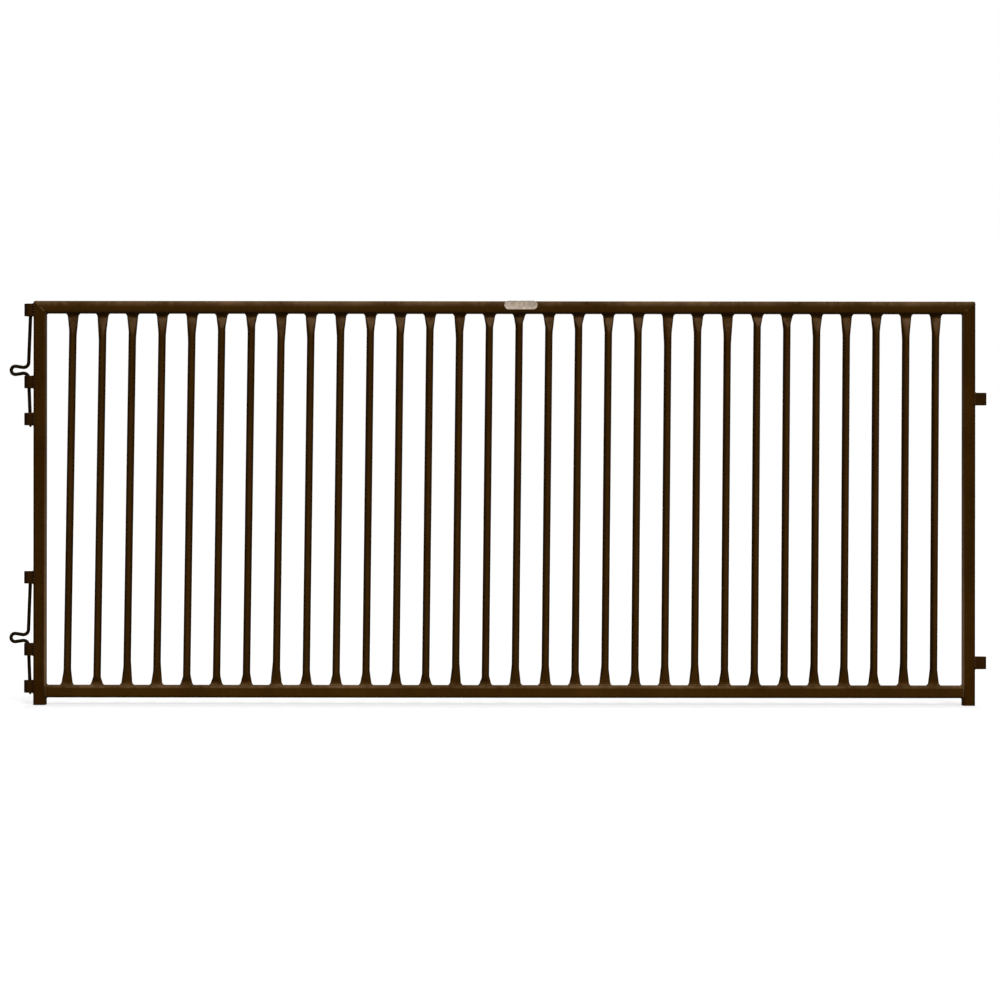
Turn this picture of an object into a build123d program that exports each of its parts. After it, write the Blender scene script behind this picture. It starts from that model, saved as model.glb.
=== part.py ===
from build123d import *

import os
from math import cos, pi, radians, sin, sqrt, tan

# Livestock panel: a mitred square-tube frame filled with upright round bars, whose ends are pressed flat
# and welded to the rails. Two drop pins with bent finger loops slide in strap keepers on the left post, and
# two strap lugs on the right post take the pins of the next panel.
#
# Millimetres, +Z up, +X along the panel towards the lugs, front face towards -Y. The origin is on the floor,
# midway between the outermost finger loop and the outermost lug, in the middle of the tube's depth.

os.makedirs("parts", exist_ok=True)

# Frame of square tube
panel_height = 1034.0
frame_width = 2410.0
tube_size = 31.75
tube_wall = 1.9
tube_corner_radius = 7.0
foot_height = 19.0

# Upright bars of round tube, pressed flat at both ends and so closed
bar_diameter = 19.05
bar_ovality = 0.3
bar_pitch = 76.2
bar_press_length = 42.0
bar_throat_length = 16.0
bar_throat_thickness = 10.5
bar_end_thickness = 3.8
bar_foot_shift_first = -15.0
bar_foot_shift_last = -5.0

# Strap keepers and lugs, bent from flat bar
strap_width = 31.75
strap_thickness = 3.175
strap_slot = 19.05
keeper_reach = 25.0
lug_reach = 30.0

# Heights of the two sets of three keepers, each measured to a strap's middle
upper_set_drop = 23.0
lower_set_rise = 47.0
guide_to_rest_keeper = 184.4
rest_to_tip_keeper = 95.0
upper_lug_gap = 10.0
lower_lug_gap = 1.0

# Drop pins, bent from round rod
rod_diameter = 9.0
leg_offset = 13.9
leg_lean = 2.2
neck_bend_radius = 13.0
neck_half_gap = 7.45
loop_bulge = 3.05
loop_flare = 9.0
pin_rest_gap = 0.3
pin_head_inset = 3.0
pin_head_chamfer = 1.0
pin_tip_drop = 4.5
pin_tip_length = 6.0
pin_tip_diameter = 4.0

# Loop of the drop pin, with distances measured outwards from the left post's outer face
rod_radius = rod_diameter / 2
lean = radians(leg_lean)
flare = radians(loop_flare)
loop_radius = neck_half_gap + loop_bulge
neck_centre = leg_offset + neck_bend_radius * cos(lean)
neck_centre_rise = neck_half_gap + neck_bend_radius
neck_run = (loop_bulge * cos(flare) - neck_centre_rise * (1 - cos(flare))) / sin(flare)
loop_centre = neck_centre + (neck_bend_radius + loop_radius) * sin(flare) + neck_run * cos(flare)
loop_overhang = loop_centre + loop_radius + rod_radius

# The inside of the neck bend sits on the inner top edge of the keeper under it
keeper_inner_reach = keeper_reach - strap_thickness
bend_inside = neck_bend_radius - rod_radius - pin_rest_gap
loop_above_keeper = neck_centre_rise - sqrt(bend_inside**2 - (neck_centre - keeper_inner_reach) ** 2)
pin_travel = guide_to_rest_keeper - strap_width - 2 * loop_above_keeper

# Frame positions
overall_length = frame_width + loop_overhang + lug_reach
left_face = loop_overhang - overall_length / 2
right_face = left_face + frame_width
bay_left = left_face + tube_size
bay_right = right_face - tube_size
bottom_rail_top = foot_height + tube_size
top_rail_bottom = panel_height - tube_size

# Keeper heights, one set of three for each pin, and the lug that enters between the lower two
upper_guide_height = panel_height - upper_set_drop
lower_guide_height = lower_set_rise + rest_to_tip_keeper + guide_to_rest_keeper
pin_sets = {
    "upper": (upper_guide_height, upper_lug_gap),
    "lower": (lower_guide_height, lower_lug_gap),
}


def save(part, name):
    """Labels a finished piece and writes it under its own name."""
    part.label = name
    export_step(part, f"parts/{name}.step")


def tube_section():
    """Square tube with rounded corners, drawn in the sketch that is open."""
    RectangleRounded(tube_size, tube_size, tube_corner_radius)
    bore = tube_size - 2 * tube_wall
    RectangleRounded(bore, bore, tube_corner_radius - tube_wall, mode=Mode.SUBTRACT)


# Mitre planes at the two top corners, with the top rail above them and the posts below
left_mitre = Plane(origin=(left_face, 0, panel_height), z_dir=(1, 0, 1))
right_mitre = Plane(origin=(right_face, 0, panel_height), z_dir=(-1, 0, 1))

# Left post
with BuildPart() as left_post:
    with BuildSketch(Plane((left_face + tube_size / 2, 0, 0))):
        tube_section()
    extrude(amount=panel_height)
    split(bisect_by=left_mitre, keep=Keep.BOTTOM)
save(left_post.part, "left_post")

# Right post
with BuildPart() as right_post:
    with BuildSketch(Plane((right_face - tube_size / 2, 0, 0))):
        tube_section()
    extrude(amount=panel_height)
    split(bisect_by=right_mitre, keep=Keep.BOTTOM)
save(right_post.part, "right_post")

# Top rail, mitred at both ends
with BuildPart() as top_rail:
    with BuildSketch(Plane((left_face, 0, panel_height - tube_size / 2), z_dir=(1, 0, 0))):
        tube_section()
    extrude(amount=frame_width)
    split(bisect_by=left_mitre, keep=Keep.TOP)
    split(bisect_by=right_mitre, keep=Keep.TOP)
save(top_rail.part, "top_rail")

# Bottom rail, cut square and butted between the posts
with BuildPart() as bottom_rail:
    with BuildSketch(Plane((bay_left, 0, foot_height + tube_size / 2), z_dir=(1, 0, 0))):
        tube_section()
    extrude(amount=bay_right - bay_left)
save(bottom_rail.part, "bottom_rail")

# Upright bars, as many as the pitch lets into the bay, centred at the top rail
bay_width = bay_right - bay_left
bar_count = int(bay_width // bar_pitch)
first_head = (bay_left + bay_right - (bar_count - 1) * bar_pitch) / 2
bar_length = top_rail_bottom - bottom_rail_top

# Bar stations: height above the bottom rail and thickness left by the press
bar_stations = [
    (0, bar_end_thickness),
    (bar_throat_length, bar_throat_thickness),
    (bar_press_length, bar_diameter),
    (bar_length - bar_press_length, bar_diameter),
    (bar_length - bar_throat_length, bar_throat_thickness),
    (bar_length, bar_end_thickness),
]


def upright_bar(name, foot, head):
    """Bar from its foot on the bottom rail to its head on the top rail; pressing keeps its girth the same."""
    with BuildPart() as bar:
        for rise, thickness in bar_stations:
            centre = foot + (head - foot) * rise / bar_length
            width = thickness + pi * (bar_diameter - thickness) / 2 + bar_ovality
            with BuildSketch(Plane((centre, 0, bottom_rail_top + rise))):
                SlotOverall(width, thickness)
        loft(ruled=True)
    save(bar.part, name)


for index in range(bar_count):
    bar_head = first_head + index * bar_pitch
    bar_share = index / max(bar_count - 1, 1)
    foot_shift = bar_foot_shift_first + bar_share * (bar_foot_shift_last - bar_foot_shift_first)
    upright_bar(f"bar_{index + 1:02d}", bar_head + foot_shift, bar_head)


def strap_loop(name, face, outward, reach, middle_height):
    """Flat bar bent into a U and standing on a post's side face; outward is -1 or 1 along X."""
    inner_radius = strap_slot / 2
    outer_radius = inner_radius + strap_thickness
    nose = face + outward * (reach - outer_radius)
    with BuildPart() as strap:
        with BuildSketch(Plane.XY.offset(middle_height - strap_width / 2)):
            with BuildLine():
                Polyline((face, inner_radius), (face, outer_radius), (nose, outer_radius))
                ThreePointArc((nose, outer_radius), (face + outward * reach, 0), (nose, -outer_radius))
                Polyline((nose, -outer_radius), (face, -outer_radius), (face, -inner_radius))
                Line((face, -inner_radius), (nose, -inner_radius))
                inner_tip = face + outward * (reach - strap_thickness)
                ThreePointArc((nose, -inner_radius), (inner_tip, 0), (nose, inner_radius))
                Line((nose, inner_radius), (face, inner_radius))
            make_face()
        extrude(amount=strap_width)
    save(strap.part, name)


def drop_pin(name, guide_height):
    """One bent rod: upper leg, neck bend, finger loop, neck bend, lower leg and a pointed tip."""
    rest_keeper_top = guide_height - guide_to_rest_keeper + strap_width / 2
    loop_height = rest_keeper_top + loop_above_keeper
    head_height = guide_height + strap_width / 2 - pin_head_inset
    tip_keeper_bottom = guide_height - guide_to_rest_keeper - rest_to_tip_keeper - strap_width / 2
    shank_end_height = tip_keeper_bottom - pin_tip_drop + pin_tip_length
    bend_turn = 90 - leg_lean + loop_flare
    bend_start = (
        left_face - neck_centre + neck_bend_radius * cos(lean),
        loop_height + neck_centre_rise - neck_bend_radius * sin(lean),
    )
    head = (bend_start[0] + (head_height - bend_start[1]) * tan(lean), head_height)
    with BuildPart() as pin:
        with BuildLine(Plane.XZ) as route:
            upper_leg = Line(head, bend_start)
            upper_bend = JernArc(upper_leg @ 1, upper_leg % 1, neck_bend_radius, -bend_turn)
            upper_run = PolarLine(upper_bend @ 1, neck_run, direction=upper_bend % 1)
            loop = JernArc(upper_run @ 1, upper_run % 1, loop_radius, 180 + 2 * loop_flare)
            lower_run = PolarLine(loop @ 1, neck_run, direction=loop % 1)
            lower_bend = JernArc(lower_run @ 1, lower_run % 1, neck_bend_radius, -bend_turn)
            shank_length = ((lower_bend @ 1).Z - shank_end_height) / cos(lean)
            PolarLine(lower_bend @ 1, shank_length, direction=lower_bend % 1)
        with BuildSketch(Plane(route.line @ 0, z_dir=route.line % 0)):
            Circle(rod_radius)
        sweep(path=route.line)
        chamfer(pin.edges().group_by(Axis.Z)[-1], pin_head_chamfer)
        with Locations(Plane(route.line @ 1, z_dir=route.line % 1)):
            Cone(
                rod_radius,
                pin_tip_diameter / 2,
                pin_tip_length / cos(lean),
                align=(Align.CENTER, Align.CENTER, Align.MIN),
            )
    save(pin.part, name)


# Keepers on the left post, their drop pins, and the lugs on the right post
for set_name, (guide_height, lug_gap) in pin_sets.items():
    rest_height = guide_height - guide_to_rest_keeper
    tip_height = rest_height - rest_to_tip_keeper
    lug_height = rest_height - strap_width - lug_gap
    strap_loop(f"{set_name}_guide_keeper", left_face, -1, keeper_reach, guide_height)
    strap_loop(f"{set_name}_rest_keeper", left_face, -1, keeper_reach, rest_height)
    strap_loop(f"{set_name}_tip_keeper", left_face, -1, keeper_reach, tip_height)
    strap_loop(f"{set_name}_lug", right_face, 1, lug_reach, lug_height)
    drop_pin(f"{set_name}_drop_pin", guide_height)

print(f"overall length {overall_length:.2f}, {bar_count} bars, pin travel {pin_travel:.2f}")
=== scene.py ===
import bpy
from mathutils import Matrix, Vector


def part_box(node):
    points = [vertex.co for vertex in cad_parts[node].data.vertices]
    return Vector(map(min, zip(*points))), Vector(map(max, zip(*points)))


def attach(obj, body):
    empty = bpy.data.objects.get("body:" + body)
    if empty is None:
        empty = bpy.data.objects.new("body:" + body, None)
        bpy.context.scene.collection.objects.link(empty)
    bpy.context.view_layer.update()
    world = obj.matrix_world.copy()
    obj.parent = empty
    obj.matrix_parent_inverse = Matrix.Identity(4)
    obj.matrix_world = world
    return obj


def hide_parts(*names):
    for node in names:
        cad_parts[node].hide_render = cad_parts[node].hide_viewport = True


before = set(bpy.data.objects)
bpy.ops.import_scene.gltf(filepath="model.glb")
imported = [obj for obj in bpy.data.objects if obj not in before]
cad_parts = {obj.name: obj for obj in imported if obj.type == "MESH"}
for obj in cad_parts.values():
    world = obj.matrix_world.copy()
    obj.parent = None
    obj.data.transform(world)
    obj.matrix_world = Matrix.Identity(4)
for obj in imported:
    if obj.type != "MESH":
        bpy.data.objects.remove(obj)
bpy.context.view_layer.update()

from math import cos, pi, radians, sin, sqrt, tan

import bmesh
import bpy
from bpy.props import FloatProperty, FloatVectorProperty, IntProperty, PointerProperty
from mathutils import Vector

bl_info = {
    "name": "Livestock panel",
    "version": (1, 0, 0),
    "blender": (4, 5, 0),
    "location": "3D View > Sidebar > Livestock panel",
    "description": "Dresses a welded livestock panel: tubes, pressed bars, straps, drop pins and welds",
    "category": "Object",
}

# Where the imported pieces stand, in metres
left_post_low, left_post_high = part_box("left_post")
top_rail_low, top_rail_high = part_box("top_rail")
bottom_rail_low, bottom_rail_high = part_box("bottom_rail")
left_face = left_post_low[0]
right_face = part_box("right_post")[1][0]
front_face = top_rail_low[1]
panel_top = top_rail_high[2]
top_rail_under = top_rail_low[2]
bottom_rail_top = bottom_rail_high[2]
bar_nodes = sorted(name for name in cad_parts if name.startswith("bar_"))
pin_sets = ("upper", "lower")

# Each strap with the face that it is welded to and the way that it stands out, -1 or 1 along X
keepers = [f"{pin_set}_{place}_keeper" for pin_set in pin_sets for place in ("guide", "rest", "tip")]
lugs = [pin_set + "_lug" for pin_set in pin_sets]
straps = dict.fromkeys(keepers, (left_face, -1)) | dict.fromkeys(lugs, (right_face, 1))


def srgb(levels):
    """A colour as a screen shows it, 0 to 255, turned into linear light."""
    shares = [level / 255 for level in levels]
    return [s / 12.92 if s <= 0.04045 else ((s + 0.055) / 1.055) ** 2.4 for s in shares]


def length(label, says, default):
    """A size in metres for the sidebar."""
    return FloatProperty(name=label, description=says, default=default, min=0, unit="LENGTH", precision=5)


def share(label, says, default):
    """A part of a whole for the sidebar."""
    return FloatProperty(name=label, description=says, default=default, min=0, max=1, subtype="FACTOR")


def angle(label, says, degrees):
    """An angle for the sidebar."""
    return FloatProperty(name=label, description=says, default=radians(degrees), subtype="ANGLE")


def strength(label, says, default):
    """The strength of a light for the sidebar."""
    return FloatProperty(name=label, description=says, default=default, min=0)


def colour(label, says, *levels):
    """A colour for the sidebar, written as a screen shows it."""
    return FloatVectorProperty(
        name=label, description=says, default=srgb(levels), subtype="COLOR", size=3, min=0, max=1
    )


class PanelSizes(bpy.types.PropertyGroup):
    """Sizes of the dressed panel."""

    tube: length("Tube", "Side of the square tube", left_post_high[0] - left_post_low[0])
    tube_wall: length("Tube wall", "Wall of the square tube", 0.0019)
    tube_corner: length("Tube corner", "Outside radius of the tube's corners", 0.007)
    corner_cut: length("Corner cut", "What is ground off the outer corners of the mitres", 0.005)
    bar: length("Bar", "Diameter of an upright bar", 0.01905)
    bar_ovality: length("Bar ovality", "How much wider than deep a bar is", 0.0003)
    bar_end: length("Bar end", "Thickness of a bar's pressed end", 0.0038)
    bar_blade: length("Bar blade", "Length of the flat blade at a bar's end", 0.0085)
    head_press: length("Head press", "Usual length over which a head is pressed flat", 0.0375)
    foot_press: length("Foot press", "Usual length over which a foot is pressed flat", 0.03)
    press_spread: share("Press spread", "How far that length differs from end to end", 0.58)
    press_skew: share("Press skew", "How far it differs between an end's two sides", 0.3)
    press_crown: share("Press crown", "How far a pressed end is lens-shaped and not flat", 0.4)
    bar_sink: length("Bar sink", "How far a bar's end is sunk into its weld", 0.0004)
    cove_spread: length("Cove spread", "How far the weld round a bar's end spreads on its rail", 0.0034)
    cove_rise: length("Cove rise", "How far that weld climbs the bar", 0.009)
    bar_twist: angle("Bar twist", "Most that a pressed end is turned from square", 3.5)
    strap: length("Strap", "Thickness of the keepers and lugs", 0.003175)
    strap_slot: length("Strap slot", "Width inside a keeper or lug", 0.01905)
    strap_edge: length("Strap edge", "Radius of a strap's rolled edges", 0.0007)
    rod: length("Rod", "Diameter of a drop pin's rod", 0.009)
    leg_offset: length("Leg offset", "From the post to the rod at the start of the loop", 0.0139)
    leg_lean: angle("Leg lean", "Lean of the pin's two legs", 2.2)
    neck_bend: length("Neck bend", "Radius of the two neck bends", 0.013)
    neck_half_gap: length("Neck half gap", "Half the distance between the loop's necks", 0.00745)
    loop_bulge: length("Loop bulge", "How far the loop is rounder than its neck", 0.00305)
    loop_flare: angle("Loop flare", "Flare of the loop's two runs", 9.0)
    rest_gap: length("Rest gap", "From the neck bend to the keeper under it", 0.0003)
    tip_length: length("Tip length", "Length of a pin's point", 0.006)
    tip: length("Tip", "Diameter at the end of the point", 0.004)
    head_chamfer: length("Head chamfer", "Chamfer at the top of a pin", 0.001)
    bead_step: length("Bead step", "From one weld ripple to the next", 0.0024)
    bead_crown: length("Bead crown", "How far a ripple stands out of the metal", 0.0009)
    bar_bead: length("Bar bead", "Half width of the ripples round a bar's end", 0.0021)
    seam_bead: length("Seam bead", "Half width of the welds between the tubes", 0.003)
    mitre_bead: length("Mitre bead", "Half width of the welds on the mitres' faces", 0.006)
    strap_bead: length("Strap bead", "Half width of the welds that hold a strap", 0.0055)
    badge_width: length("Badge width", "Length of the badge plate", 0.085)
    badge_height: length("Badge height", "Height of the badge plate", 0.0225)
    badge_place: length("Badge place", "From the left post's outer face to the badge's middle", 1.2471)
    badge_lift: length("Badge lift", "How far the badge stands up past the rail", 0.001)
    badge_plate: length("Badge plate", "Thickness of the badge plate", 0.0008)
    badge_rim: length("Badge rim", "How far the badge's rim stands out of the rail", 0.0012)
    badge_rim_width: length("Badge rim width", "Width of the badge's rim", 0.0013)
    badge_bevel: length("Badge bevel", "Bevel on the edges of the badge's rim", 0.0003)
    seed: IntProperty(name="Seed", description="Start of everything that is uneven", default=7)


class PanelColours(bpy.types.PropertyGroup):
    """Colours of the dressed panel and its stage."""

    # The rails' brown is a lighter copy of the posts' enamel: painted light
    rail: colour("Rail", "Brown enamel of the rails", 64, 40, 10)
    post: colour("Post", "Brown enamel of the posts", 52, 30, 4)
    bar: colour("Bar", "Brown enamel of the bars", 57, 35, 10)
    # The welds' brown is a lighter copy of the enamel that covers them: painted light
    weld: colour("Weld", "Brown enamel over the welds", 70, 50, 24)
    strap: colour("Strap", "Brown enamel of the keepers and lugs", 46, 26, 6)
    pin: colour("Pin", "Brown enamel of the drop pins", 26, 16, 5)
    # The pale dust colour is laid both as dust and as painted light on what faces up and on the posts'
    # inner sides
    dust_and_light: colour("Dust", "Dust that settles on what faces up", 156, 128, 97)
    badge: colour("Badge", "Bare badge plate", 171, 155, 137)
    floor: colour("Floor", "Studio floor", 232, 232, 232)


class PanelStage(bpy.types.PropertyGroup):
    """Floor, light and camera of the stage."""

    floor_reach: length("Floor reach", "From the middle of the floor to its edges", 60)
    floor_glow: share("Floor glow", "How far the floor is plain white", 0.5)
    floor_bounce: share("Floor bounce", "Grey of the floor in the light that it throws back", 0.2)
    low_sky: strength("Low sky", "Light from near the horizon", 0.06)
    high_sky: strength("High sky", "Light from overhead", 1.0)
    sky_from: share("Sky from", "Height at which the horizon starts to brighten", 0.2)
    sky_to: share("Sky to", "Height from which the sky is bright", 0.5)
    lamp: strength("Lamp", "Strength of the soft lamp in front", 2.5)
    back_lamp: strength("Back lamp", "Strength of the soft lamp behind", 1.2)
    lamp_spread: angle("Lamp spread", "How wide the soft lamps look from the panel", 25)
    lamp_height: angle("Lamp height", "Height of the soft lamps above the horizon", 38)
    lamp_turn: angle("Lamp turn", "How far the front lamp stands to the right", 18)
    distance: length("Distance", "From the camera to the panel's front", 6.6)
    height: length("Height", "Height of the camera", 0.5253)
    place: length("Place", "From the left post's outer face to the camera", 1.194)
    lens: FloatProperty(name="Lens", description="Focal length", default=92.95, min=1, unit="CAMERA")
    roll: angle("Roll", "Turn of the camera about its line of sight", -0.05)


def both_ways(operation):
    """A wire's two methods for an operation: with the wire first, and with the wire last."""
    return (
        lambda wire, other: calc(operation, wire, other),
        lambda wire, other: calc(operation, other, wire),
    )


class Wire:
    """An output socket that can be used in sums, each of which adds its Math node."""

    __add__, __radd__ = both_ways("ADD")
    __sub__, __rsub__ = both_ways("SUBTRACT")
    __mul__, __rmul__ = both_ways("MULTIPLY")
    __truediv__, __rtruediv__ = both_ways("DIVIDE")

    def __init__(self, sheet, socket):
        self.sheet = sheet
        self.socket = socket

    def __neg__(self):
        return calc("MULTIPLY", self, -1)

    def out(self, name):
        """Another output of the same node."""
        return Wire(self.sheet, self.socket.node.outputs[name])


def calc(operation, *terms):
    """One Math node on values and wires."""
    sheet = next(term.sheet for term in terms if isinstance(term, Wire))
    return sheet.add("ShaderNodeMath", {"operation": operation}, dict(enumerate(terms)))


class NodeSheet:
    """A node tree that is written as expressions."""

    def __init__(self, tree):
        self.tree = tree

    def add(self, kind, settings=(), values=(), out=0):
        """A node: its settings first, then the values or wires of its sockets. Gives the chosen output."""
        node = self.tree.nodes.new(kind)
        for name, value in dict(settings).items():
            if name == "capture":
                node.capture_items.new(*value)
            else:
                setattr(node, name, value)
        for name, value in dict(values).items():
            if isinstance(value, Wire):
                self.tree.links.new(value.socket, node.inputs[name])
            else:
                node.inputs[name].default_value = value
        return Wire(self, node.outputs[out]) if node.outputs else node

    def split(self, vector):
        """A vector's X, with its Y and Z as the node's other outputs."""
        return self.add("ShaderNodeSeparateXYZ", values={0: vector})

    def noise(self, scale, detail=3, stretch=(1, 1, 1), shift=0):
        """Noise on the object's own coordinates, as a value about one half."""
        place = self.add("ShaderNodeTexCoord", out="Object")
        mapping = {"Vector": place, "Scale": stretch, "Location": (shift, 0, shift)}
        place = self.add("ShaderNodeMapping", values=mapping)
        return self.add("ShaderNodeTexNoise", values={"Vector": place, "Scale": scale, "Detail": detail})

    def step(self, value, low, high):
        """0 below low, 1 above high, smooth between."""
        limits = {"Value": value, "From Min": low, "From Max": high}
        return self.add("ShaderNodeMapRange", {"interpolation_type": "SMOOTHSTEP"}, limits)

    def blend(self, amount, first, second):
        """A colour between two."""
        ends = [tint if isinstance(tint, Wire) else (*tint, 1) for tint in (first, second)]
        return self.add("ShaderNodeMix", {"data_type": "RGBA"}, {0: amount, 6: ends[0], 7: ends[1]}, 2)

    def end(self, shade, roughness, gloss, relief, bump, depth):
        """Ends a finish in one plain shader, with bumps from a relief."""
        bumps = {"Height": relief, "Strength": bump, "Distance": depth}
        looks = {
            "Base Color": shade,
            "Roughness": roughness,
            "Specular IOR Level": gloss,
            "Normal": self.add("ShaderNodeBump", values=bumps),
        }
        shader = self.add("ShaderNodeBsdfPrincipled", values=looks)
        self.add("ShaderNodeOutputMaterial", values={"Surface": shader})


def clear_tree(holder):
    """The emptied node tree of a material or a world."""
    holder.use_nodes = True
    holder.node_tree.nodes.clear()
    return holder.node_tree


# Marks in the enamel, as how many there are to a metre
clouds_to_metre = 7
mottles_to_metre = 85
scuffs_to_metre = 260
peel_to_metre = 620
grit_to_metre = 1900
runs_to_metre = (150, 150, 5)

# Where marks in the enamel start and end, in metres from the floor, an upper edge or a weld
inner_light_fades = (0.1, 0.7)
edge_light_ends = (0.005, 0.016)
edge_shade_ends = (0.008, 0.032)
weld_band_ends = (0.0085, 0.012)
weld_band_raggedness = 0.008
weld_dust_and_light_thins = (0.014, 0.05)


class EnamelCoat(NodeSheet):
    """Sprayed brown enamel, laid on layer by layer: shade is its colour so far, and a second mask holds its
    dust together with painted light on what faces up.
    """

    def __init__(self, tree, tint, dust_and_light):
        super().__init__(tree)
        self.tint = Vector(tint)
        self.dust_and_light = dust_and_light
        self.facing = self.split(self.add("ShaderNodeNewGeometry", out="Normal"))
        self.place = self.split(self.add("ShaderNodeTexCoord", out="Object"))
        self.height = self.place.out("Z")
        self.clouds = self.noise(clouds_to_metre, 4)
        self.mottle = self.noise(mottles_to_metre, 4, shift=3)
        self.patches = self.step(self.mottle * 0.3 + self.clouds * 0.7, 0.3, 0.7)

        # Dust, with painted light from above and the right, lies on what faces up, less where it also faces
        # left
        facing_up_not_left = self.facing.out("Z") + 0.5 * calc("MINIMUM", self.facing, 0.0)
        self.dust_and_top_light = self.step(facing_up_not_left, 0, 0.15) * self.patches

    def tone(self, amount, tint):
        """Lays a colour over the coat."""
        self.shade = self.blend(amount, self.shade, tint)

    def spray(self, uneven, streaks):
        """Clouds, mottling and runs, dark where the coat is thick and light where it is thin."""
        runs = self.noise(1, 3, runs_to_metre, 1)
        depth = self.clouds * 0.5 + self.mottle * uneven + runs * streaks
        thick = self.tint * Vector((0.58, 0.58, 0.5))
        thin = self.tint * Vector((1.42, 1.4, 1.3)) + Vector((0.002, 0.001, 0))
        self.shade = self.blend(self.step(depth, 0.15, 0.75 + uneven), thick, thin)

    def paint_side_shade(self, sideways, most):
        """Painted shade on the sides that face left and right."""
        self.tone(self.step(sideways, 0.15, 0.75) * most, self.tint * 0.25)

    def paint_inner_light(self, inward, most):
        """Painted light on the inner sides in the dust colour, most near the ground and none below the
        bottom rail.
        """
        above_rail = self.step(self.height, bottom_rail_low[2], bottom_rail_top)
        near_ground = 1 - 0.8 * self.step(self.height, *inner_light_fades)
        inner_light_mask = self.step(inward, 0.35, 0.9) * above_rail * near_ground * (0.5 + 0.5 * self.patches)
        self.tone(inner_light_mask * most, self.dust_and_light)

    def paint_edge_light(self, edge):
        """Painted light and dust along an upper edge, and painted shade from a little below it downwards.
        """
        below = calc("ABSOLUTE", self.height - edge)
        self.tone(self.step(below, *edge_shade_ends) * 0.5, self.tint * 0.35)
        dust_and_light_level = (1 - self.step(below, *edge_light_ends)) * self.patches
        self.dust_and_top_light = calc("MAXIMUM", self.dust_and_top_light, dust_and_light_level)

    def paint_weld_light(self, welds):
        """Beside a weld the coat gets lighter blotches of painted light, which lift the shade there, and no
        dust or painted top light; further off, the dust and painted top light thin out.
        """
        low, high = (calc("ABSOLUTE", self.height - weld) for weld in welds)
        away = calc("MINIMUM", low, high) + weld_band_raggedness * (self.mottle - 0.5)
        beyond_weld_band = self.step(away, *weld_band_ends)
        self.dust_and_top_light = self.dust_and_top_light * beyond_weld_band * (1 - 0.6 * self.step(away, *weld_dust_and_light_thins))
        self.tone((1 - beyond_weld_band) * self.step(self.mottle, 0.4, 0.65), self.tint * 1.25)

    def dry(self, uneven, gloss):
        """Small pale scuffs, orange peel and grit, and the end of the sheet."""
        scuffs = self.step(self.noise(scuffs_to_metre, 5, shift=9), 0.70, 0.76)
        self.tone(scuffs * 0.35, self.tint * 2.6 + Vector((0.012, 0.008, 0.004)))
        peel = self.noise(peel_to_metre, 2)
        grit = self.noise(grit_to_metre, 1, shift=5)
        relief = peel * 0.6 + self.mottle * (0.4 + 4 * uneven) + grit * 0.12 - scuffs * 0.3
        roughness = 0.54 + 0.14 * self.mottle + 0.15 * self.dust_and_top_light + 0.15 * scuffs
        self.end(self.shade, roughness, gloss, relief, bump=0.35, depth=0.0006)


def brown_enamel(
    context, name, tint, dust_and_light_level, uneven=0.25, streaks=0.1, gloss=0.01, side_shade=0.75, inner_light=0, lit_edge=0, welds=()
):
    """Brown enamel: how much dust and painted top light it has, how uneven, streaky and glossy it is, and
    how much painted shade on its sides.

    Only a post gets painted light on its inner sides. An upper edge, when given, gets painted light with
    painted shade below it, and welds, when given, get lighter blotches of painted light beside them.
    """
    colours = context.scene.panel_colours
    finish = bpy.data.materials.new(name + "_enamel")
    coat = EnamelCoat(clear_tree(finish), getattr(colours, tint), colours.dust_and_light)
    coat.spray(uneven, streaks)

    # Painted shade on the sides: a post is dark on its outer side. The rest is dark on both, a little less
    # on the right, as if lit from there
    if inner_light:
        outward = coat.facing * calc("SIGN", coat.place)
        coat.paint_side_shade(outward, side_shade)
        coat.paint_inner_light(-outward, inner_light)
    else:
        coat.paint_side_shade(calc("ABSOLUTE", coat.facing - 0.14), side_shade)
    if lit_edge:
        coat.paint_edge_light(lit_edge)
    if welds:
        coat.paint_weld_light(welds)
    # Lays the dust together with the painted light on what faces up
    coat.tone(coat.dust_and_top_light * dust_and_light_level, coat.dust_and_light)
    coat.dry(uneven, gloss)
    return finish


def bare_plate(context):
    """Pale worn plate with a fine grain along its length, faint stains and small pits."""
    tint = Vector(context.scene.panel_colours.badge)
    finish = bpy.data.materials.new("badge_metal")
    sheet = NodeSheet(clear_tree(finish))
    grain = sheet.noise(1, 3, (60, 900, 2400))
    stains = sheet.noise(70, 4, shift=2)
    pits = sheet.noise(260, 3, shift=4)
    pitted = 1 - sheet.step(pits, 0.38, 0.5)
    rubbed = sheet.step(pits, 0.52, 0.64)
    shade = sheet.blend(sheet.step(stains, 0.3, 0.75), tint * 0.86, tint * 1.14)
    shade = sheet.blend(pitted * 0.4, shade, tint * 0.45)
    shade = sheet.blend(rubbed * 0.35, shade, tint * 1.7)
    shade = sheet.blend(sheet.step(grain, 0.45, 0.8) * 0.25, shade, tint * 0.6)
    sheet.end(shade, 0.42 + 0.2 * grain, 0.4, grain, bump=0.15, depth=0.0002)
    return finish


def add_object(name, data):
    """An object in the scene."""
    entry = bpy.data.objects.new(name, data)
    bpy.context.scene.collection.objects.link(entry)
    return entry


def add_piece(name, mesh, finish, slot, body, *nodes):
    """A finished mesh at the origin, on its body and in place of the nodes that it stands for."""
    piece = add_object(name, mesh)
    mesh.name = name
    mesh.materials.clear()
    mesh.materials.append(finish)
    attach(piece, body)
    if nodes:
        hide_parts(*nodes)


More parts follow.
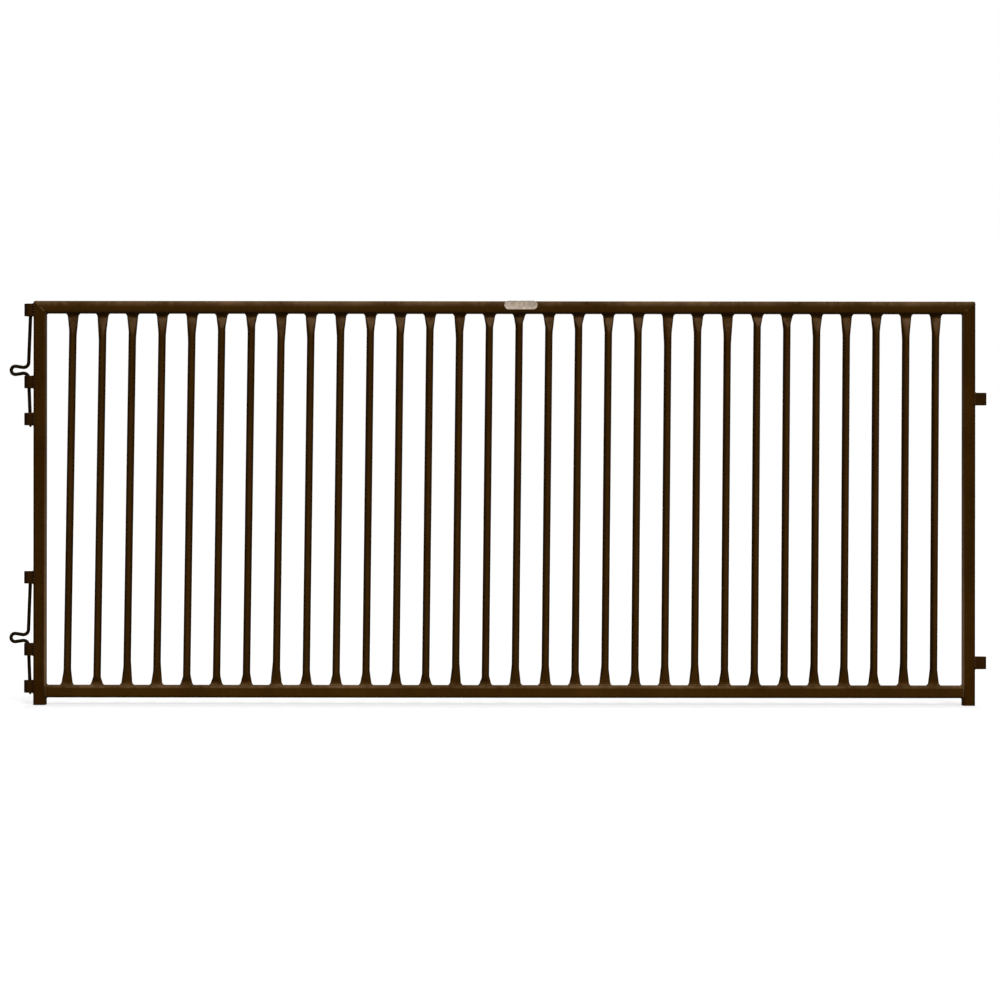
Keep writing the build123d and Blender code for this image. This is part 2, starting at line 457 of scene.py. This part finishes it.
def skin(rings, loop=False, crease=35):
    """A closed mesh through rings of points; the last ring joins the first, or both ends are capped."""
    shell = bmesh.new()
    rows = [[shell.verts.new(point) for point in ring] for ring in rings]
    pairs = list(zip(rows, rows[1:]))
    if loop:
        pairs.append((rows[-1], rows[0]))
    else:
        shell.faces.new(rows[0])
        shell.faces.new(rows[-1])
    for first, second in pairs:
        for index in range(len(first)):
            after = (index + 1) % len(first)
            shell.faces.new((first[index], first[after], second[after], second[index]))
    bmesh.ops.recalc_face_normals(shell, faces=shell.faces)
    mesh = bpy.data.meshes.new("skin")
    shell.to_mesh(mesh)
    shell.free()
    mesh.shade_smooth()
    mesh.set_sharp_from_angle(angle=radians(crease))
    return mesh


def rounded_box(wide, high, radius, turns=6, guard=0.0004):
    """Outline of a rectangle with rounded corners, and guard points that keep its flats flat."""
    outline = []
    for corner, (across, up) in enumerate(((1, 1), (-1, 1), (-1, -1), (1, -1))):
        middle = (across * (wide / 2 - radius), up * (high / 2 - radius))
        ends = [corner * pi / 2, (corner + 1) * pi / 2]
        arc = []
        for turn in range(turns + 1):
            bearing = ends[0] + (ends[1] - ends[0]) * turn / turns
            arc.append((middle[0] + radius * cos(bearing), middle[1] + radius * sin(bearing)))
        before = (arc[0][0] + guard * sin(ends[0]), arc[0][1] - guard * cos(ends[0]))
        after = (arc[-1][0] - guard * sin(ends[1]), arc[-1][1] + guard * cos(ends[1]))
        outline += [before, *arc, after]
    return outline


def slot_outline(wide, thick, turns=10):
    """Outline with two flats and two half rounds."""
    radius = thick / 2
    centre = wide / 2 - radius
    outline = []
    for side, start in ((1, -pi / 2), (-1, pi / 2)):
        for turn in range(turns + 1):
            bearing = start + pi * turn / turns
            outline.append((side * centre + radius * cos(bearing), radius * sin(bearing)))
    return outline


def girth_width(size, thickness):
    """Width of a bar pressed to a thickness, with its girth kept."""
    return thickness + pi * (size.bar - thickness) / 2 + size.bar_ovality


def bar_line(size, index):
    """Where a bar stands on the bottom rail and under the top rail."""
    half = girth_width(size, size.bar_end) / 2
    low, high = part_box(bar_nodes[index])
    return low[0] + half, high[0] - half


def new_tree(name, sockets):
    """A geometry tree with named inputs, and the wires that they come in on."""
    tree = bpy.data.node_groups.new(name, "GeometryNodeTree")
    for label, kind in sockets.items():
        tree.interface.new_socket(label, in_out="INPUT", socket_type="NodeSocket" + kind)
    tree.interface.new_socket("Mesh", in_out="OUTPUT", socket_type="NodeSocketGeometry")
    sheet = NodeSheet(tree)
    entry = sheet.add("NodeGroupInput")
    return sheet, {label: entry.out(label) for label in sockets}


def smooth(sheet, mesh):
    """The mesh with its faces shaded smooth."""
    return sheet.add("GeometryNodeSetShadeSmooth", values={0: mesh})


def end_tree(sheet, pieces, finish):
    """Ends a geometry tree in one plain mesh with its finish."""
    mesh = sheet.add("GeometryNodeRealizeInstances", values={0: pieces})
    mesh = sheet.add("GeometryNodeSetMaterial", values={0: mesh, "Material": finish})
    sheet.add("NodeGroupOutput", values={0: mesh})
    return sheet.tree


def grow(guide, tree, values):
    """Runs a geometry tree over a guide mesh and gives the plain mesh that it makes."""
    holder = add_object(guide.name, guide)
    modifier = holder.modifiers.new(guide.name, "NODES")
    modifier.node_group = tree
    for socket in tree.interface.items_tree:
        if socket.in_out == "INPUT" and socket.name in values:
            modifier[socket.identifier] = values[socket.name]
    graph = bpy.context.evaluated_depsgraph_get()
    mesh = bpy.data.meshes.new_from_object(holder.evaluated_get(graph), depsgraph=graph)
    holder.modifiers.remove(modifier)
    bpy.data.objects.remove(holder)
    if not mesh.polygons:
        raise RuntimeError(guide.name + " came out empty")
    return mesh


# Inputs of the bars' tree that are sizes of the panel
bar_inputs = {
    "Diameter": "bar",
    "Ovality": "bar_ovality",
    "End Thickness": "bar_end",
    "Blade": "bar_blade",
    "Head Press": "head_press",
    "Foot Press": "foot_press",
    "Spread": "press_spread",
    "Skew": "press_skew",
    "Crown": "press_crown",
    "Cove Spread": "cove_spread",
    "Cove Rise": "cove_rise",
    "Twist": "bar_twist",
}


def pressed_bar_tree():
    """Round bars side by side that lean to their feet, pressed flat at both ends with their girth kept."""
    places = ("First Head", "Last Head", "First Foot", "Last Foot", "Foot Height", "Length")
    floats = dict.fromkeys((*places, *bar_inputs), "Float")
    sheet, size = new_tree("pressed_bars", {"Count": "Int", **floats, "Seed": "Int", "Finish": "Material"})

    # One upright cylinder for each bar, which is made real because its points are moved one by one
    line = sheet.add("GeometryNodeMeshLine", values={"Count": size["Count"], "Offset": (0, 0, 0)})
    number = sheet.add("GeometryNodeInputIndex")
    marked = sheet.add("GeometryNodeCaptureAttribute", {"capture": ("INT", "Number")}, {0: line, 1: number})
    number = marked.out("Number")
    rings = {"Vertices": 32, "Side Segments": 80, "Radius": 1.0, "Depth": 1.0}
    round_bar = smooth(sheet, sheet.add("GeometryNodeMeshCylinder", {"fill_type": "NGON"}, rings))
    bars = sheet.add("GeometryNodeInstanceOnPoints", values={"Points": marked, "Instance": round_bar})
    bars = sheet.add("GeometryNodeRealizeInstances", values={0: bars})
    spot = sheet.split(sheet.add("GeometryNodeInputPosition"))
    across, deep = spot, spot.out("Y")

    # Rings crowd towards both ends, where the shape changes
    crowding = 2.5
    half_length = size["Length"] * 0.5
    from_middle = spot.out("Z") * 2
    from_end = half_length * calc("POWER", 1 - calc("ABSOLUTE", from_middle), crowding)
    rise = half_length + calc("SIGN", from_middle) * (half_length - from_end)

    def uneven(most, draw):
        """A draw for each bar from -most to most, the same on every run."""
        limits = {2: -most, 3: most, "ID": number, "Seed": size["Seed"] + draw}
        return sheet.add("FunctionNodeRandomValue", {"data_type": "FLOAT"}, limits, 1)

    def by_end(foot, head):
        """One value in the lower half of a bar and another in the upper half."""
        return foot + (head - foot) * calc("GREATER_THAN", from_middle, 0.0)

    # The press leaves a flat blade, then a straight wedge that is longer on one side than on the other
    softness = 0.12
    usual = by_end(size["Foot Press"], size["Head Press"])
    spread = by_end(uneven(size["Spread"], 2), uneven(size["Spread"], 3))
    skew = by_end(uneven(size["Skew"], 4), uneven(size["Skew"], 5))
    wedge = usual * (1 + spread) * (1 + across * skew)
    pressed = calc("SMOOTH_MAX", 1 - (from_end - size["Blade"]) / wedge, 0.0, softness)
    pressed = calc("SMOOTH_MIN", pressed, 1.0, softness)
    thick = size["Diameter"] - (size["Diameter"] - size["End Thickness"]) * pressed
    half_flat = (size["Diameter"] - thick) * (pi / 4) + size["Ovality"] * 0.5

    # A hollow weld spreads each end onto its rail
    hollow = 1.5
    climb = calc("MAXIMUM", 1 - from_end / size["Cove Rise"], 0.0)
    radius = thick * 0.5 + size["Cove Spread"] * calc("POWER", climb, hollow)

    # Points keep their share of the girth as the section flattens
    quarter = calc("ARCTAN2", calc("ABSOLUTE", deep), calc("ABSOLUTE", across)) / (pi / 2)
    along = quarter * (radius * (pi / 2) + half_flat)
    bearing = calc("MINIMUM", along / radius, pi / 2)
    beyond = calc("MAXIMUM", along - radius * (pi / 2), 0.0)
    wide = calc("SIGN", across) * (half_flat + radius * calc("COSINE", bearing) - beyond)
    thin = calc("SIGN", deep) * radius * calc("SINE", bearing)

    # The faces of a pressed end stay a little crowned
    wide = wide + size["Crown"] * (across * (half_flat + radius) - wide)
    thin = thin + size["Crown"] * (deep * radius - thin)

    # No two ends are pressed quite square to the rail
    height_share = rise / size["Length"]
    foot_turn, head_turn = (uneven(size["Twist"], draw) for draw in (0, 1))
    turn = foot_turn + (head_turn - foot_turn) * height_share
    swung_wide = wide * calc("COSINE", turn) - thin * calc("SINE", turn)
    swung_deep = wide * calc("SINE", turn) + thin * calc("COSINE", turn)

    # Heads and feet are spread evenly along their rails
    order = number / (size["Count"] - 1)
    head = size["First Head"] + (size["Last Head"] - size["First Head"]) * order
    foot = size["First Foot"] + (size["Last Foot"] - size["First Foot"]) * order
    middle = foot + (head - foot) * height_share
    parts = {"X": middle + swung_wide, "Y": swung_deep, "Z": size["Foot Height"] + rise}
    spot = sheet.add("ShaderNodeCombineXYZ", values=parts)
    bars = sheet.add("GeometryNodeSetPosition", values={"Geometry": bars, "Position": spot})
    return end_tree(sheet, bars, size["Finish"])


def weld_bead_tree():
    """Rippled weld beads along guide lines; each guide point carries the bead's half width."""
    numbers = {"Step": "Float", "Unevenness": "Float", "Seed": "Int"}
    sheet, size = new_tree("weld_beads", {"Lines": "Geometry", **numbers, "Finish": "Material"})
    lines = sheet.add("GeometryNodeMeshToCurve", values={"Mesh": size["Lines"]})
    spacing = {"Curve": lines, "Length": size["Step"]}
    lines = sheet.add("GeometryNodeResampleCurve", {"mode": "LENGTH"}, spacing)
    width = sheet.add("GeometryNodeInputNamedAttribute", {"data_type": "FLOAT"}, {"Name": "bead"})
    limits = {2: 1 - size["Unevenness"], 3: 1 + size["Unevenness"], "Seed": size["Seed"]}
    width = width * sheet.add("FunctionNodeRandomValue", {"data_type": "FLOAT"}, limits, 1)

    # Each ripple is longer than the step, so that it laps over the next one
    lap = 1.7
    ripple = sheet.add("GeometryNodeMeshUVSphere", values={"Segments": 8, "Rings": 5, "Radius": 1.0})
    stretch = sheet.add("ShaderNodeCombineXYZ", values={"X": size["Step"] * lap, "Y": width, "Z": width})
    ahead = sheet.add("GeometryNodeInputTangent")
    heading = sheet.add("FunctionNodeAlignRotationToVector", {"axis": "X"}, {"Vector": ahead})
    placed = {"Points": lines, "Instance": smooth(sheet, ripple), "Rotation": heading, "Scale": stretch}
    beads = sheet.add("GeometryNodeInstanceOnPoints", values=placed)
    return end_tree(sheet, beads, size["Finish"])


def guide_lines(name, seams):
    """One mesh of lines; each seam is its points, whether it closes, and its bead's half width."""
    points, edges, widths = [], [], []
    for line, closed, width in seams:
        start = len(points)
        points += line
        widths += [width] * len(line)
        edges += [(start + step, start + step + 1) for step in range(len(line) - 1)]
        if closed:
            edges.append((start + len(line) - 1, start))
    mesh = bpy.data.meshes.new(name)
    mesh.from_pydata(points, edges, [])
    mesh.attributes.new("bead", "FLOAT", "POINT").data.foreach_set("value", widths)
    return mesh


def mitre_cut(size, inset):
    """How far a mitre cuts back at an inset from the frame's outer face, with the corner ground off."""
    return max(inset, size.corner_cut - inset)


def tube_mesh(size, place):
    """A square tube, along its outside and back in its bore; place puts a point of it at an end."""
    bore = size.tube - 2 * size.tube_wall
    outer = rounded_box(size.tube, size.tube, size.tube_corner)
    inner = rounded_box(bore, bore, size.tube_corner - size.tube_wall)
    walls = ((outer, 0), (outer, 1), (inner, 1), (inner, 0))
    return skin([[place(end, *point) for point in outline] for outline, end in walls], loop=True)


def post_mesh(size, face, inward):
    """A post that is open at its foot and mitred at its top; inward is 1 or -1 along X."""
    middle = face + inward * size.tube / 2

    def place(end, across, deep):
        """A point at the post's foot, or under its mitre."""
        mitre = panel_top - mitre_cut(size, inward * (middle + across - face))
        return middle + across, deep, mitre if end else 0

    return tube_mesh(size, place)


def rail_mesh(size, ends, top, mitred):
    """A rail between two places along X, mitred or cut square."""
    middle = top - size.tube / 2

    def place(end, deep, up):
        """A point at the rail's left end, or its right one."""
        mitre = mitre_cut(size, size.tube / 2 - up) if mitred else 0
        return ends[end] + (-mitre if end else mitre), deep, middle + up

    return tube_mesh(size, place)


class PANEL_OT_frame_tubes(bpy.types.Operator):
    """Two posts and two rails of square tube, mitred at the top corners and open at the feet"""

    bl_idname = "panel.frame_tubes"
    bl_label = "Frame tubes"

    def execute(self, context):
        size = context.scene.panel_sizes
        # The posts get painted shade on their outer sides and painted light on their inner sides
        post_coat = brown_enamel(context, "post", "post", 0.13, streaks=0.2, gloss=0.008, inner_light=0.58)
        # The top rail gets painted light along its upper edge and painted shade below it
        top_coat = brown_enamel(context, "top_rail", "rail", 0.25, lit_edge=panel_top)
        bottom_coat = brown_enamel(context, "rail", "rail", 0.22)
        bottom_ends = (bottom_rail_low[0], bottom_rail_high[0])
        tubes = (
            ("left_post", post_mesh(size, left_face, 1), post_coat),
            ("right_post", post_mesh(size, right_face, -1), post_coat),
            ("top_rail", rail_mesh(size, (left_face, right_face), panel_top, True), top_coat),
            ("bottom_rail", rail_mesh(size, bottom_ends, bottom_rail_top, False), bottom_coat),
        )
        for node, mesh, coat in tubes:
            add_piece(node + "_tube", mesh, coat, "frame_paint", "frame", node)
        return {"FINISHED"}


class PANEL_OT_upright_bars(bpy.types.Operator):
    """Upright round bars with both ends pressed flat between the rails"""

    bl_idname = "panel.upright_bars"
    bl_label = "Upright bars"

    def execute(self, context):
        size = context.scene.panel_sizes
        ends = (bottom_rail_top, top_rail_under)
        # The bars get painted shade on their sides and lighter blotches of painted light beside their welds
        coat = brown_enamel(context, "bar", "bar", 0.28, uneven=0.2, streaks=0.3, gloss=0.006, welds=ends)
        feet, heads = zip(bar_line(size, 0), bar_line(size, -1))
        values = {label: getattr(size, name) for label, name in bar_inputs.items()}
        values |= {
            "Count": len(bar_nodes),
            "First Head": heads[0],
            "Last Head": heads[1],
            "First Foot": feet[0],
            "Last Foot": feet[1],
            "Foot Height": ends[0] - size.bar_sink,
            "Length": ends[1] - ends[0] + 2 * size.bar_sink,
            "Seed": size.seed,
            "Finish": coat,
        }
        mesh = grow(bpy.data.meshes.new("upright_bars"), pressed_bar_tree(), values)
        add_piece("upright_bars", mesh, coat, "bar_paint", "frame", *bar_nodes)
        return {"FINISHED"}


def strap_mesh(size, node):
    """Flat bar bent into a U round the pin's path, with rolled edges, its legs against the post."""
    face, outward = straps[node]
    low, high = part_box(node)
    tip = low[0] if outward < 0 else high[0]
    mid_radius = size.strap_slot / 2 + size.strap / 2
    nose = tip - outward * (mid_radius + size.strap / 2)

    # A ring along each leg, near the bend, keeps the leg's flats flat
    near_bend = face + (nose - face) * 0.6
    route = [((face, mid_radius), (0, 1)), ((near_bend, mid_radius), (0, 1))]
    turns = 28
    for turn in range(turns + 1):
        bearing = pi / 2 - pi * turn / turns
        ahead = (outward * cos(bearing), sin(bearing))
        route.append(((nose + mid_radius * ahead[0], mid_radius * ahead[1]), ahead))
    route += [((near_bend, -mid_radius), (0, -1)), ((face, -mid_radius), (0, -1))]
    section = rounded_box(size.strap, high[2] - low[2], size.strap_edge, turns=4, guard=0.0002)
    middle = (low[2] + high[2]) / 2
    rings = []
    for (across, deep), (out_x, out_y) in route:
        rings.append([(across + out_x * thick, deep + out_y * thick, middle + up) for thick, up in section])
    return skin(rings)


class PANEL_OT_straps(bpy.types.Operator):
    """Strap keepers that the drop pins slide in, and strap lugs that take the next panel's pins"""

    bl_idname = "panel.straps"
    bl_label = "Straps"

    def execute(self, context):
        coat = brown_enamel(context, "strap", "strap", 0.1, uneven=0.6, streaks=0.05)
        for node in straps:
            mesh = strap_mesh(context.scene.panel_sizes, node)
            add_piece(node + "_strap", mesh, coat, "strap_paint", "frame", node)
        return {"FINISHED"}


def bent_rod(start, heading, moves):
    """Points and directions along a rod; a move is a bend, or a straight run if it has no radius."""
    bend_step = radians(5)
    place = Vector(start)
    ahead = Vector((cos(heading), sin(heading)))
    stations = [(place, ahead)]
    for amount, radius in moves:
        if not radius:
            place = place + amount * ahead
            stations.append((place, ahead))
            continue
        reach = radius if amount > 0 else -radius
        centre = place + reach * ahead.orthogonal()
        count = max(2, round(abs(amount) / bend_step))
        for index in range(1, count + 1):
            bearing = heading + amount * index / count
            ahead = Vector((cos(bearing), sin(bearing)))
            place = centre - reach * ahead.orthogonal()
            stations.append((place, ahead))
        heading += amount
    return stations


def pin_line(size, pin_set):
    """The middle line of a drop pin: a leg, a keyhole finger loop that rests on its keeper, and a leg."""
    low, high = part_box(pin_set + "_drop_pin")
    keeper_low, keeper_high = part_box(pin_set + "_rest_keeper")
    lean, flare = size.leg_lean, size.loop_flare
    centre_rise = size.neck_half_gap + size.neck_bend
    neck_centre = size.leg_offset + size.neck_bend * cos(lean)
    run = (size.loop_bulge * cos(flare) - centre_rise * (1 - cos(flare))) / sin(flare)

    # The inside of the lower neck bend sits on the inner top edge of the keeper
    inner_reach = left_face - keeper_low[0] - size.strap
    bend_inside = size.neck_bend - size.rod / 2 - size.rest_gap
    loop_height = keeper_high[2] + centre_rise - sqrt(bend_inside**2 - (neck_centre - inner_reach) ** 2)
    upper_leg_end = loop_height + centre_rise - size.neck_bend * sin(lean)
    lower_leg_top = 2 * loop_height - upper_leg_end
    neck = (lean - flare - pi / 2, size.neck_bend)
    moves = (
        ((high[2] - upper_leg_end) / cos(lean), 0),
        neck,
        (run, 0),
        (pi + 2 * flare, size.neck_half_gap + size.loop_bulge),
        (run, 0),
        neck,
        ((lower_leg_top - low[2]) / cos(lean), 0),
    )
    head = (left_face - size.leg_offset + (high[2] - upper_leg_end) * tan(lean), high[2])
    return bent_rod(head, -pi / 2 - lean, moves)


def drop_pin_mesh(size, pin_set):
    """One bent rod, chamfered at its head and drawn to a blunt point at its foot."""
    radius = size.rod / 2
    (top, down), *between, (foot, along) = pin_line(size, pin_set)

    # The end of the point is rounded over its last part
    blunting = size.tip_length * 0.15
    blunt_radius = size.tip * 0.56
    end_radius = size.tip * 0.38
    profile = [
        (top, down, radius - size.head_chamfer),
        (top + down * size.head_chamfer, down, radius),
        *((place, ahead, radius) for place, ahead in between),
        (foot - along * size.tip_length, along, radius),
        (foot - along * blunting, along, blunt_radius),
        (foot, along, end_radius),
    ]
    around = 24
    rings = []
    for place, ahead, reach in profile:
        side = ahead.orthogonal()
        ring = []
        for step in range(around):
            bearing = 2 * pi * step / around
            out = reach * cos(bearing)
            ring.append((place[0] + side[0] * out, reach * sin(bearing), place[1] + side[1] * out))
        rings.append(ring)
    return skin(rings)


class PANEL_OT_drop_pins(bpy.types.Operator):
    """Two drop pins, each bent from one rod, that slide in their keepers"""

    bl_idname = "panel.drop_pins"
    bl_label = "Drop pins"

    def execute(self, context):
        coat = brown_enamel(context, "pin", "pin", 0.05, uneven=0.35)
        for pin_set in pin_sets:
            mesh = drop_pin_mesh(context.scene.panel_sizes, pin_set)
            body, node = pin_set + "_pin", pin_set + "_drop_pin"
            add_piece(pin_set + "_pin_rod", mesh, coat, "pin_paint", body, node)
        return {"FINISHED"}


def bar_seams(size):
    """Seams round both ends of every bar, whose ripples ride on the foot of the cove."""
    bead = size.bar_bead
    out = size.cove_spread * 0.4
    drop = bead * 0.4
    outline = slot_outline(girth_width(size, size.bar_end) + 2 * out, size.bar_end + 2 * out)
    seams = []
    for index in range(len(bar_nodes)):
        foot, head = bar_line(size, index)
        for middle, height in ((foot, bottom_rail_top + drop), (head, top_rail_under - drop)):
            seams.append(([(middle + across, deep, height) for across, deep in outline], True, bead))
    return seams


def frame_seams(size):
    """Seams on the mitres and round the bottom rail's ends."""
    bead = size.seam_bead
    half = size.tube / 2
    seams = []

    # The mitres are dressed low, so only the crown of the bead stands out of the faces
    sunk = size.mitre_bead - size.bead_crown
    short = size.tube_corner * 0.7

    # One bead rounds the ground corner and another fills the crook inside it
    corner = (size.corner_cut * 0.5 + bead * 0.45, bead)
    crook = (size.tube, bead * 0.5)
    reach = half - size.tube_corner * 0.5
    for face, inward in ((left_face, 1), (right_face, -1)):
        for deep in (sunk - half, half - sunk):
            start = (face + inward * short, deep, panel_top - short)
            end = (face + inward * (size.tube - short), deep, panel_top - size.tube + short)
            seams.append(([start, end], False, size.mitre_bead))
        for inset, width in (corner, crook):
            across, up = face + inward * inset, panel_top - inset
            seams.append(([(across, -reach, up), (across, reach, up)], False, width))

    # The bottom rail is welded all round to each post
    outline = rounded_box(size.tube, size.tube, size.tube_corner)
    middle = bottom_rail_top - half
    proud = bead * 0.15
    for place in (bottom_rail_low[0] + proud, bottom_rail_high[0] - proud):
        seams.append(([(place, deep, middle + up) for deep, up in outline], True, bead * 0.75))
    return seams


def strap_seams(size):
    """A wide seam down the outer side of every strap's legs, which laps onto the post."""
    lap = size.strap_bead * 0.5
    short = size.strap_bead * 0.3
    reach = size.tube / 2 - size.strap_bead + size.bead_crown
    seams = []
    for node, (face, outward) in straps.items():
        low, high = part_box(node)
        across = face - outward * lap
        for deep in (-reach, reach):
            line = [(across, deep, low[2] + short), (across, deep, high[2] - short)]
            seams.append((line, False, size.strap_bead))
    return seams


class PANEL_OT_welds(bpy.types.Operator):
    """Weld beads round the bars' ends, on the frame's joints and down the straps' legs"""

    bl_idname = "panel.welds"
    bl_label = "Welds"

    def execute(self, context):
        size = context.scene.panel_sizes
        # The welds get less painted shade on their sides
        rippled = {"streaks": 0.05, "side_shade": 0.25}
        coat = brown_enamel(context, "weld", "weld", 0.25, uneven=0.6, gloss=0.002, **rippled)
        dark_coat = brown_enamel(context, "strap_weld", "strap", 0.1, uneven=0.4, gloss=0, **rippled)
        beads = (
            ("bar_welds", bar_seams(size), 0.3, coat, "bar_paint"),
            ("frame_welds", frame_seams(size), 0.2, coat, "frame_paint"),
            ("strap_welds", strap_seams(size), 0.2, dark_coat, "strap_paint"),
        )
        tree = weld_bead_tree()
        for name, seams, unevenness, finish, slot in beads:
            values = {"Step": size.bead_step, "Unevenness": unevenness, "Seed": size.seed, "Finish": finish}
            add_piece(name, grow(guide_lines(name, seams), tree, values), finish, slot, "frame")
        return {"FINISHED"}


class PANEL_OT_badge_plate(bpy.types.Operator):
    """Bare badge plate with a raised rim on the front of the top rail"""

    bl_idname = "panel.badge_plate"
    bl_label = "Badge plate"

    def execute(self, context):
        size = context.scene.panel_sizes
        middle_x = left_face + size.badge_place
        middle_z = panel_top - size.badge_height / 2 + size.badge_lift

        # From the back edge over the bevelled rim to the plate, each as its inset and how far it stands out
        rim, width, bevel = size.badge_rim, size.badge_rim_width, size.badge_bevel
        levels = (
            (0, 0),
            (0, rim - bevel),
            (bevel, rim),
            (width - bevel, rim),
            (width, rim - bevel),
            (width + bevel, size.badge_plate),
        )
        rings = []
        for inset, proud in levels:
            outline = slot_outline(size.badge_width - 2 * inset, size.badge_height - 2 * inset, turns=20)
            rings.append([(middle_x + across, front_face - proud, middle_z + up) for across, up in outline])
        add_piece("badge_plate", skin(rings, crease=60), bare_plate(context), "frame_paint", "frame")
        return {"FINISHED"}


def backdrop_rays(sheet):
    """1 for the rays that show the backdrop: those from the camera, mirrored or through glass."""
    path = sheet.add("ShaderNodeLightPath", out="Is Camera Ray")
    bent = calc("MAXIMUM", path.out("Is Glossy Ray"), path.out("Is Transmission Ray"))
    return calc("MAXIMUM", path, bent)


def studio_floor(scene):
    """A floor that shows almost white under the panel's shadow, and throws little light back."""
    stage = scene.panel_stage
    finish = bpy.data.materials.new("studio_floor")
    sheet = NodeSheet(clear_tree(finish))
    lit = sheet.add("ShaderNodeBsdfDiffuse", values={"Color": (*scene.panel_colours.floor, 1)})
    white = sheet.add("ShaderNodeEmission", values={"Color": (1, 1, 1, 1), "Strength": 1})
    seen = sheet.add("ShaderNodeMixShader", values={0: stage.floor_glow, 1: lit, 2: white})
    grey = [stage.floor_bounce] * 3 + [1]
    bounced = sheet.add("ShaderNodeBsdfDiffuse", values={"Color": grey})
    mixed = sheet.add("ShaderNodeMixShader", values={0: backdrop_rays(sheet), 1: bounced, 2: seen})
    sheet.add("ShaderNodeOutputMaterial", values={"Surface": mixed})
    ground = bmesh.new()
    bmesh.ops.create_grid(ground, x_segments=4, y_segments=4, size=stage.floor_reach)
    mesh = bpy.data.meshes.new("studio_floor")
    ground.to_mesh(mesh)
    ground.free()
    mesh.materials.append(finish)
    floor = add_object("studio_floor", mesh)


def studio_sky(scene):
    """A white backdrop, and light that is dim at the horizon and bright overhead."""
    stage = scene.panel_stage
    world = bpy.data.worlds.new("studio")
    scene.world = world
    sheet = NodeSheet(clear_tree(world))
    up = sheet.split(sheet.add("ShaderNodeTexCoord", out="Generated")).out("Z")
    brightness = stage.low_sky + stage.high_sky * sheet.step(up, stage.sky_from, stage.sky_to)
    sky = sheet.add("ShaderNodeBackground", values={"Strength": brightness})
    white = sheet.add("ShaderNodeBackground", values={"Color": (1, 1, 1, 1), "Strength": 1})
    mixed = sheet.add("ShaderNodeMixShader", values={0: backdrop_rays(sheet), 1: sky, 2: white})
    sheet.add("ShaderNodeOutputWorld", values={"Surface": mixed})


def soft_lamps(scene):
    """A wide soft lamp in front, to the right of the camera, and a weaker one behind the panel."""
    stage = scene.panel_stage
    lamps = (("front_lamp", stage.lamp, stage.lamp_turn), ("back_lamp", stage.back_lamp, pi))
    for name, energy, turn in lamps:
        lamp = bpy.data.lights.new(name, "SUN")
        lamp.energy = energy
        lamp.angle = stage.lamp_spread
        add_object(name, lamp).rotation_euler = (pi / 2 - stage.lamp_height, 0, turn)


def front_camera(scene):
    """The camera, level and square to the panel's front."""
    stage = scene.panel_stage
    camera = bpy.data.cameras.new("front_view")
    camera.lens = stage.lens
    viewer = add_object("front_view", camera)
    viewer.location = (left_face + stage.place, front_face - stage.distance, stage.height)
    viewer.rotation_euler = (pi / 2, stage.roll, 0)
    scene.camera = viewer


class PANEL_OT_stage(bpy.types.Operator):
    """White floor and backdrop, soft light from the front and above, and the camera square to the front"""

    bl_idname = "panel.stage"
    bl_label = "Stage"

    def execute(self, context):
        for build in (studio_floor, studio_sky, soft_lamps, front_camera):
            build(context.scene)
        context.scene.view_settings.view_transform = "Standard"
        return {"FINISHED"}


class PANEL_PT_dressing(bpy.types.Panel):
    """Sizes, colours and steps of the livestock panel"""

    bl_idname = "PANEL_PT_dressing"
    bl_label = "Livestock panel"
    bl_space_type = "VIEW_3D"
    bl_region_type = "UI"
    bl_category = "Livestock panel"

    def draw(self, context):
        for group_name, group in groups.items():
            box = self.layout.box()
            for name in group.__annotations__:
                box.prop(getattr(context.scene, group_name), name)
        for step in steps:
            self.layout.operator(step.bl_idname)


steps = (
    PANEL_OT_stage,
    PANEL_OT_frame_tubes,
    PANEL_OT_upright_bars,
    PANEL_OT_straps,
    PANEL_OT_drop_pins,
    PANEL_OT_welds,
    PANEL_OT_badge_plate,
)
groups = {"panel_sizes": PanelSizes, "panel_colours": PanelColours, "panel_stage": PanelStage}
classes = (*groups.values(), *steps, PANEL_PT_dressing)


def register():
    """Adds the classes and the scene's groups of settings."""
    for entry in classes:
        bpy.utils.register_class(entry)
    for name, group in groups.items():
        setattr(bpy.types.Scene, name, PointerProperty(type=group))


def unregister():
    """Takes them out again."""
    for name in groups:
        delattr(bpy.types.Scene, name)
    for entry in reversed(classes):
        bpy.utils.unregister_class(entry)


def main():
    """Dresses the panel step by step."""
    register()
    bpy.ops.panel.stage()
    bpy.ops.panel.frame_tubes()
    bpy.ops.panel.upright_bars()
    bpy.ops.panel.straps()
    bpy.ops.panel.drop_pins()
    bpy.ops.panel.welds()
    bpy.ops.panel.badge_plate()


if __name__ == "__main__":
    main()
